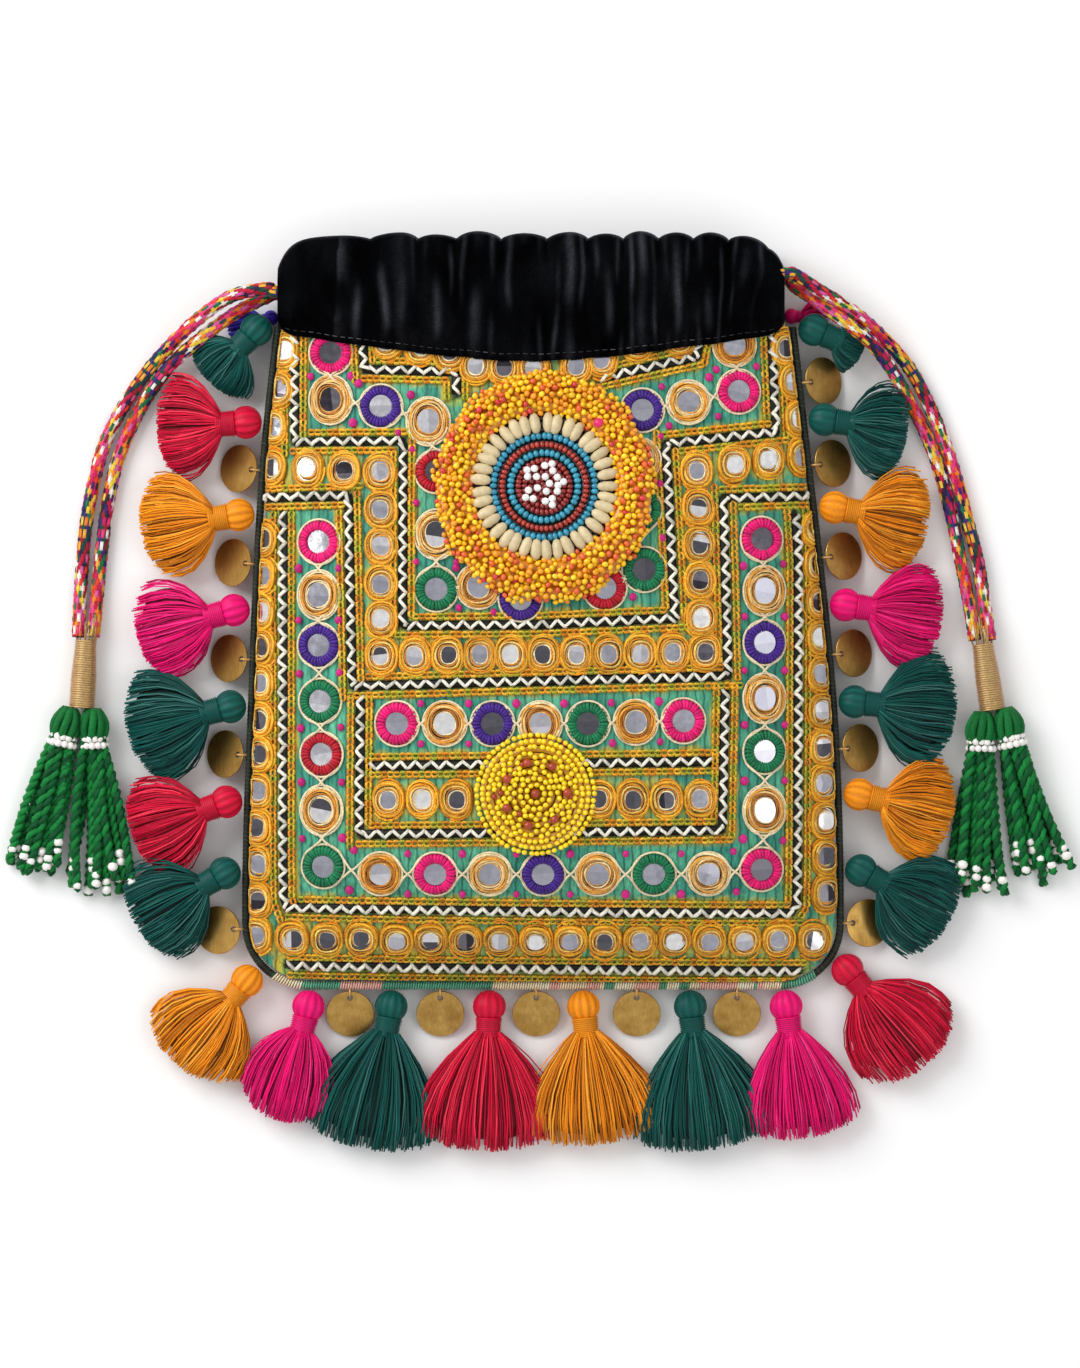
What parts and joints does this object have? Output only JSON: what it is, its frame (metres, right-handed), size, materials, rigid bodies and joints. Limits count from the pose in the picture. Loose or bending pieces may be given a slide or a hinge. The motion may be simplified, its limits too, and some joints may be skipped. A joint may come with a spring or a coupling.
{
  "type": "potli bag",
  "caption": "Flat embroidered drawstring pouch with velvet mouth, mirror work, bead medallions, thread tassels and brass discs.",
  "frame": {"origin": "on the flat back face, in the middle of the pouch's width, at the height of the middle of the embroidered panel", "axes": "+X to the pouch's right seen from the front, +Y towards the mouth, +Z from the back to the front"},
  "size_m": [0.3869, 0.33, 0.047],
  "materials": {
    "embroidery": "thread embroidery with small mirrors",
    "lining_cloth": "plain black cloth",
    "velvet": "black velvet",
    "drawstring": "braided thread of many colours",
    "gold_thread": "metallic gold thread",
    "green_cord": "twisted green cord",
    "brass": "satin, slightly tarnished",
    "yellow_beads": "glossy glass seed beads",
    "bone_beads": "satin bone-coloured beads",
    "blue_beads": "glossy glass seed beads",
    "crimson": "cotton thread",
    "orange": "cotton thread",
    "hot_pink": "cotton thread",
    "teal": "cotton thread",
    "violet": "cotton thread"
  },
  "bodies": {
    "bag": {"front_panel": "embroidery", "back_panel": "lining_cloth", "edge_piping": "gold_thread", "casing_front": "velvet", "casing_back": "velvet", "drawstring_left": "drawstring", "drawstring_right": "drawstring", "binding_left": "gold_thread", "binding_right": "gold_thread", "cord_tassel_left_outer": "green_cord", "cord_tassel_left_inner": "green_cord", "cord_tassel_right_inner": "green_cord", "cord_tassel_right_outer": "green_cord", "tassel_left_01": "violet", "tassel_left_02": "teal", "tassel_left_03": "crimson", "tassel_left_04": "orange", "tassel_left_05": "hot_pink", "tassel_left_06": "teal", "tassel_left_07": "crimson", "tassel_left_08": "teal", "tassel_left_09": "orange", "tassel_left_10": "hot_pink", "tassel_bottom_11": "teal", "tassel_bottom_12": "crimson", "tassel_bottom_13": "orange", "tassel_bottom_14": "teal", "tassel_bottom_15": "hot_pink", "tassel_right_16": "crimson", "tassel_right_17": "teal", "tassel_right_18": "orange", "tassel_right_19": "teal", "tassel_right_20": "hot_pink", "tassel_right_21": "orange", "tassel_right_22": "teal", "tassel_right_23": "teal", "tassel_right_24": "hot_pink", "rosette_wreath": "yellow_beads", "rosette_bone_ring": "bone_beads", "rosette_centre": "blue_beads", "beaded_button": "yellow_beads"},
    "disc_01": {"brass_disc_01": "brass"},
    "disc_02": {"brass_disc_02": "brass"},
    "disc_03": {"brass_disc_03": "brass"},
    "disc_04": {"brass_disc_04": "brass"},
    "disc_05": {"brass_disc_05": "brass"},
    "disc_06": {"brass_disc_06": "brass"},
    "disc_07": {"brass_disc_07": "brass"},
    "disc_08": {"brass_disc_08": "brass"},
    "disc_09": {"brass_disc_09": "brass"},
    "disc_10": {"brass_disc_10": "brass"},
    "disc_11": {"brass_disc_11": "brass"},
    "disc_12": {"brass_disc_12": "brass"},
    "disc_13": {"brass_disc_13": "brass"},
    "disc_14": {"brass_disc_14": "brass"},
    "disc_15": {"brass_disc_15": "brass"},
    "disc_16": {"brass_disc_16": "brass"}
  },
  "joints": [
    {"name": "disc_swing_01", "type": "hinge", "parent": "bag", "child": "disc_01", "pos_m": [-0.10356, 0.06122, 0.01154], "axis": [0.0969, 0.9953, 0], "range_deg": [-2, 95]},
    {"name": "disc_swing_02", "type": "hinge", "parent": "bag", "child": "disc_02", "pos_m": [-0.10565, 0.02746, 0.01154], "axis": [0.0807, 0.9967, 0], "range_deg": [-2, 95]},
    {"name": "disc_swing_03", "type": "hinge", "parent": "bag", "child": "disc_03", "pos_m": [-0.10709, -0.00698, 0.01154], "axis": [0.0632, 0.998, 0], "range_deg": [-2, 95]},
    {"name": "disc_swing_04", "type": "hinge", "parent": "bag", "child": "disc_04", "pos_m": [-0.1084, -0.04136, 0.01154], "axis": [0.0442, 0.999, 0], "range_deg": [-2, 95]},
    {"name": "disc_swing_05", "type": "hinge", "parent": "bag", "child": "disc_05", "pos_m": [-0.10984, -0.10416, 0.0072], "axis": [-0.0673, 0.9977, 0], "range_deg": [-2, 95]},
    {"name": "disc_swing_06", "type": "hinge", "parent": "bag", "child": "disc_06", "pos_m": [-0.06964, -0.1272, 0.00584], "axis": [-1, 0, 0], "range_deg": [-2, 95]},
    {"name": "disc_swing_07", "type": "hinge", "parent": "bag", "child": "disc_07", "pos_m": [-0.03707, -0.1272, 0.00584], "axis": [-1, 0, 0], "range_deg": [-2, 95]},
    {"name": "disc_swing_08", "type": "hinge", "parent": "bag", "child": "disc_08", "pos_m": [-0.00245, -0.1272, 0.00584], "axis": [-1, 0, 0], "range_deg": [-2, 95]},
    {"name": "disc_swing_09", "type": "hinge", "parent": "bag", "child": "disc_09", "pos_m": [0.03382, -0.1272, 0.00584], "axis": [-1, 0, 0], "range_deg": [-2, 95]},
    {"name": "disc_swing_10", "type": "hinge", "parent": "bag", "child": "disc_10", "pos_m": [0.06997, -0.1272, 0.00584], "axis": [-1, 0, 0], "range_deg": [-2, 95]},
    {"name": "disc_swing_11", "type": "hinge", "parent": "bag", "child": "disc_11", "pos_m": [0.1099, -0.10205, 0.00743], "axis": [0.0009, -1, 0], "range_deg": [-2, 95]},
    {"name": "disc_swing_12", "type": "hinge", "parent": "bag", "child": "disc_12", "pos_m": [0.10829, -0.03917, 0.01154], "axis": [0.0455, -0.999, 0], "range_deg": [-2, 95]},
    {"name": "disc_swing_13", "type": "hinge", "parent": "bag", "child": "disc_13", "pos_m": [0.10583, -0.00512, 0.01154], "axis": [0.0641, -0.9979, 0], "range_deg": [-2, 95]},
    {"name": "disc_swing_14", "type": "hinge", "parent": "bag", "child": "disc_14", "pos_m": [0.1022, 0.02978, 0.01154], "axis": [0.0818, -0.9966, 0], "range_deg": [-2, 95]},
    {"name": "disc_swing_15", "type": "hinge", "parent": "bag", "child": "disc_15", "pos_m": [0.09831, 0.06308, 0.01154], "axis": [0.0978, -0.9952, 0], "range_deg": [-2, 95]},
    {"name": "disc_swing_16", "type": "hinge", "parent": "bag", "child": "disc_16", "pos_m": [0.09494, 0.09273, 0.01154], "axis": [0.1114, -0.9938, 0], "range_deg": [-2, 95]}
  ]
}
